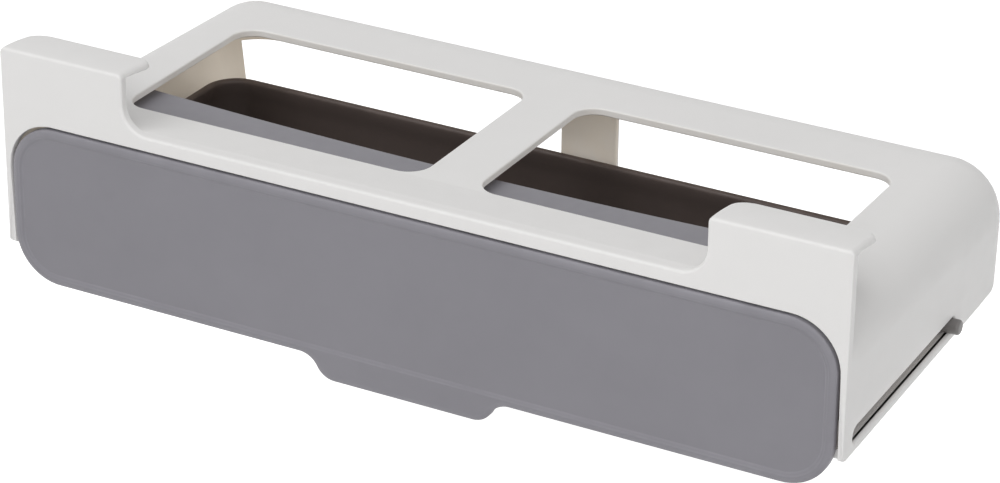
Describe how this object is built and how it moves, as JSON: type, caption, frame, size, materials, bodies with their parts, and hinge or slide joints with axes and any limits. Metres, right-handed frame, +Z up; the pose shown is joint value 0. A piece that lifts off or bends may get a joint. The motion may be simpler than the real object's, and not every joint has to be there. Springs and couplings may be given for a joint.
{
  "type": "under-shelf spice rack",
  "caption": "Under-shelf spice rack: a white frame hooks over a shelf's front edge and carries a grey drawer that slides out and drops down.",
  "frame": {"origin": "on the flat seat under the shelf, in the plane of the shelf's front edge, midway between the hooks", "axes": "+X right, +Y towards the back of the shelf, +Z up"},
  "size_m": [0.3362, 0.157, 0.0992],
  "materials": {
    "frame_white": "satin moulded",
    "front_grey": "satin moulded",
    "tray_dark": "fine moulded texture",
    "pin_grey": "satin moulded"
  },
  "bodies": {
    "frame": {"frame": "frame_white"},
    "guide": {"pin_left": "pin_grey", "pin_right": "pin_grey"},
    "drawer": {"drawer_front": "front_grey", "tray": "tray_dark", "tray_floor": "tray_dark", "runner_left": "tray_dark", "runner_right": "tray_dark"}
  },
  "joints": [
    {"name": "drawer_slide", "type": "slide", "parent": "frame", "child": "guide", "axis": [0, -1, 0], "range_m": [0, 0.088]},
    {"name": "drawer_drop", "type": "hinge", "parent": "guide", "child": "drawer", "pos_m": [0, 0.0965, -0.0499], "axis": [1, 0, 0], "range_deg": [0, 35]}
  ]
}
